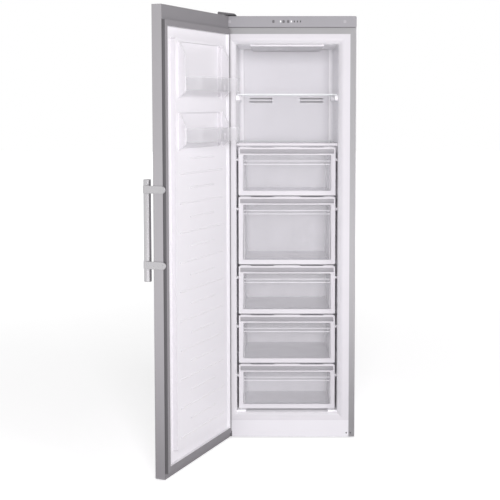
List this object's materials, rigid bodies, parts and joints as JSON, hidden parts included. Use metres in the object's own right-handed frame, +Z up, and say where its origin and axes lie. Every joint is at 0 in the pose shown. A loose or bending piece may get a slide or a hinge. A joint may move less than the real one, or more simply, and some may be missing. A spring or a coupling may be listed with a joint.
{
  "type": "upright freezer",
  "caption": "Tall free-standing freezer with its left-hinged door open: clear-fronted drawers below, open compartments with glass shelves above, racks on the door and a vertical bar handle.",
  "frame": {"origin": "centre of the cabinet's footprint, on the floor", "axes": "+Z up, -Y towards the front that the door closes, +X to the right of a person facing it"},
  "size_m": [0.8569, 1.1765, 1.866],
  "materials": {
    "black_enamel": "black enamelled steel",
    "black_plastic": "moulded black plastic",
    "board": "circuit board",
    "button": "moulded grey plastic",
    "clear_rack": "clear moulded plastic",
    "clear_tub": "clear moulded plastic",
    "clear_window": "clear moulded plastic",
    "copper_pipe": "drawn copper pipe",
    "dark_plastic": "moulded dark plastic",
    "dark_steel": "dark painted steel plate",
    "fins": "bare fins and tube",
    "foam": "rigid insulation foam",
    "foot_plastic": "moulded black plastic",
    "grey_cabinet": "satin painted steel sheet",
    "grey_plastic": "moulded grey plastic",
    "handle_silver": "satin silver finish",
    "heater_tube": "bright heater tube",
    "lens": "smoked light pipe",
    "mount_rubber": "black rubber",
    "roller_plastic": "natural nylon",
    "seal": "soft grey seal",
    "shelf_glass": "clear toughened glass",
    "silver_door": "satin silver painted steel sheet",
    "white_frame": "moulded white plastic",
    "white_liner": "vacuum-formed white plastic",
    "white_panel": "moulded white plastic",
    "zinc_sheet": "galvanised sheet"
  },
  "bodies": {
    "cabinet": {"air_cover": "white_panel", "back_panel": "zinc_sheet", "bottom_panel": "zinc_sheet", "cabinet_foam": "foam", "cabinet_shell": "grey_cabinet", "ceiling_duct": "white_panel", "compressor": "black_enamel", "compressor_mounts": "mount_rubber", "compressor_tray": "zinc_sheet", "control_board": "board", "control_fascia": "grey_plastic", "defrost_heater": "heater_tube", "drain_pipe": "black_plastic", "drip_tray": "black_plastic", "evaporator": "fins", "fan_motor": "black_plastic", "hinge_cover": "dark_plastic", "indicator_lights": "lens", "inner_liner": "white_liner", "lower_hinge": "dark_steel", "mains_inlet": "black_plastic", "plinth": "white_panel", "refrigerant_pipes": "copper_pipe", "upper_hinge": "dark_steel"},
    "door": {"door_skin": "silver_door", "door_foam": "foam", "door_liner": "white_liner", "door_gasket": "seal", "door_top_cap": "grey_plastic", "door_bottom_cap": "grey_plastic", "handle_bar": "handle_silver", "handle_arms": "handle_silver"},
    "rack_upper": {"rack_upper": "clear_rack"},
    "rack_lower": {"rack_lower": "clear_rack"},
    "shelf_upper": {"shelf_upper": "shelf_glass"},
    "shelf_lower": {"shelf_lower": "shelf_glass", "shelf_lower_trim": "white_frame"},
    "drawer_1": {"drawer_1_front": "white_frame", "drawer_1_window": "clear_window", "drawer_1_tub": "clear_tub"},
    "drawer_2": {"drawer_2_front": "white_frame", "drawer_2_window": "clear_window", "drawer_2_tub": "clear_tub"},
    "drawer_3": {"drawer_3_front": "white_frame", "drawer_3_window": "clear_window", "drawer_3_tub": "clear_tub"},
    "drawer_4": {"drawer_4_front": "white_frame", "drawer_4_window": "clear_window", "drawer_4_tub": "clear_tub"},
    "drawer_5": {"drawer_5_front": "white_frame", "drawer_5_window": "clear_window", "drawer_5_tub": "clear_tub"},
    "fan_blade": {"fan_blade": "grey_plastic"},
    "foot_left": {"foot_left": "foot_plastic"},
    "foot_right": {"foot_right": "foot_plastic"},
    "roller_left": {"roller_left": "roller_plastic"},
    "roller_right": {"roller_right": "roller_plastic"},
    "alarm_button": {"alarm_button": "button"},
    "fast_freeze_button": {"fast_freeze_button": "button"},
    "temperature_button": {"temperature_button": "button"}
  },
  "joints": [
    {"name": "door_hinge", "type": "hinge", "parent": "cabinet", "child": "door", "pos_m": [-0.2792, -0.3313, 0.016], "axis": [0, 0, -1], "range_deg": [-112.5, 6]},
    {"name": "drawer_1_slide", "type": "slide", "parent": "cabinet", "child": "drawer_1", "axis": [0, -1, 0], "range_m": [0, 0.35]},
    {"name": "drawer_2_slide", "type": "slide", "parent": "cabinet", "child": "drawer_2", "axis": [0, -1, 0], "range_m": [0, 0.35]},
    {"name": "drawer_3_slide", "type": "slide", "parent": "cabinet", "child": "drawer_3", "axis": [0, -1, 0], "range_m": [0, 0.35]},
    {"name": "drawer_4_slide", "type": "slide", "parent": "cabinet", "child": "drawer_4", "axis": [0, -1, 0], "range_m": [0, 0.35]},
    {"name": "drawer_5_slide", "type": "slide", "parent": "cabinet", "child": "drawer_5", "axis": [0, -1, 0], "range_m": [0, 0.25]},
    {"name": "rack_upper_lift", "type": "slide", "parent": "door", "child": "rack_upper", "axis": [0, 0, 1], "range_m": [0, 0.034]},
    {"name": "rack_lower_lift", "type": "slide", "parent": "door", "child": "rack_lower", "axis": [0, 0, 1], "range_m": [0, 0.034]},
    {"name": "shelf_upper_slide", "type": "slide", "parent": "cabinet", "child": "shelf_upper", "axis": [0, -1, 0], "range_m": [0, 0.3]},
    {"name": "shelf_lower_slide", "type": "slide", "parent": "cabinet", "child": "shelf_lower", "axis": [0, -1, 0], "range_m": [0, 0.3]},
    {"name": "fan_spin", "type": "hinge", "parent": "cabinet", "child": "fan_blade", "pos_m": [0, 0.179, 0.96], "axis": [0, 1, 0], "continuous": true},
    {"name": "foot_left_turn", "type": "hinge", "parent": "cabinet", "child": "foot_left", "pos_m": [-0.24, -0.22, 0], "axis": [0, 0, 1], "continuous": true},
    {"name": "roller_left_spin", "type": "hinge", "parent": "cabinet", "child": "roller_left", "pos_m": [-0.245, 0.233, 0.015], "axis": [1, 0, 0], "continuous": true},
    {"name": "foot_right_turn", "type": "hinge", "parent": "cabinet", "child": "foot_right", "pos_m": [0.24, -0.22, 0], "axis": [0, 0, 1], "continuous": true},
    {"name": "roller_right_spin", "type": "hinge", "parent": "cabinet", "child": "roller_right", "pos_m": [0.245, 0.233, 0.015], "axis": [1, 0, 0], "continuous": true},
    {"name": "alarm_press", "type": "slide", "parent": "cabinet", "child": "alarm_button", "axis": [0, 1, 0], "range_m": [0, 0.001], "stiffness_N_per_m": 600, "springref_m": -0.001},
    {"name": "fast_freeze_press", "type": "slide", "parent": "cabinet", "child": "fast_freeze_button", "axis": [0, 1, 0], "range_m": [0, 0.001], "stiffness_N_per_m": 600, "springref_m": -0.001},
    {"name": "temperature_press", "type": "slide", "parent": "cabinet", "child": "temperature_button", "axis": [0, 1, 0], "range_m": [0, 0.001], "stiffness_N_per_m": 600, "springref_m": -0.001}
  ]
}
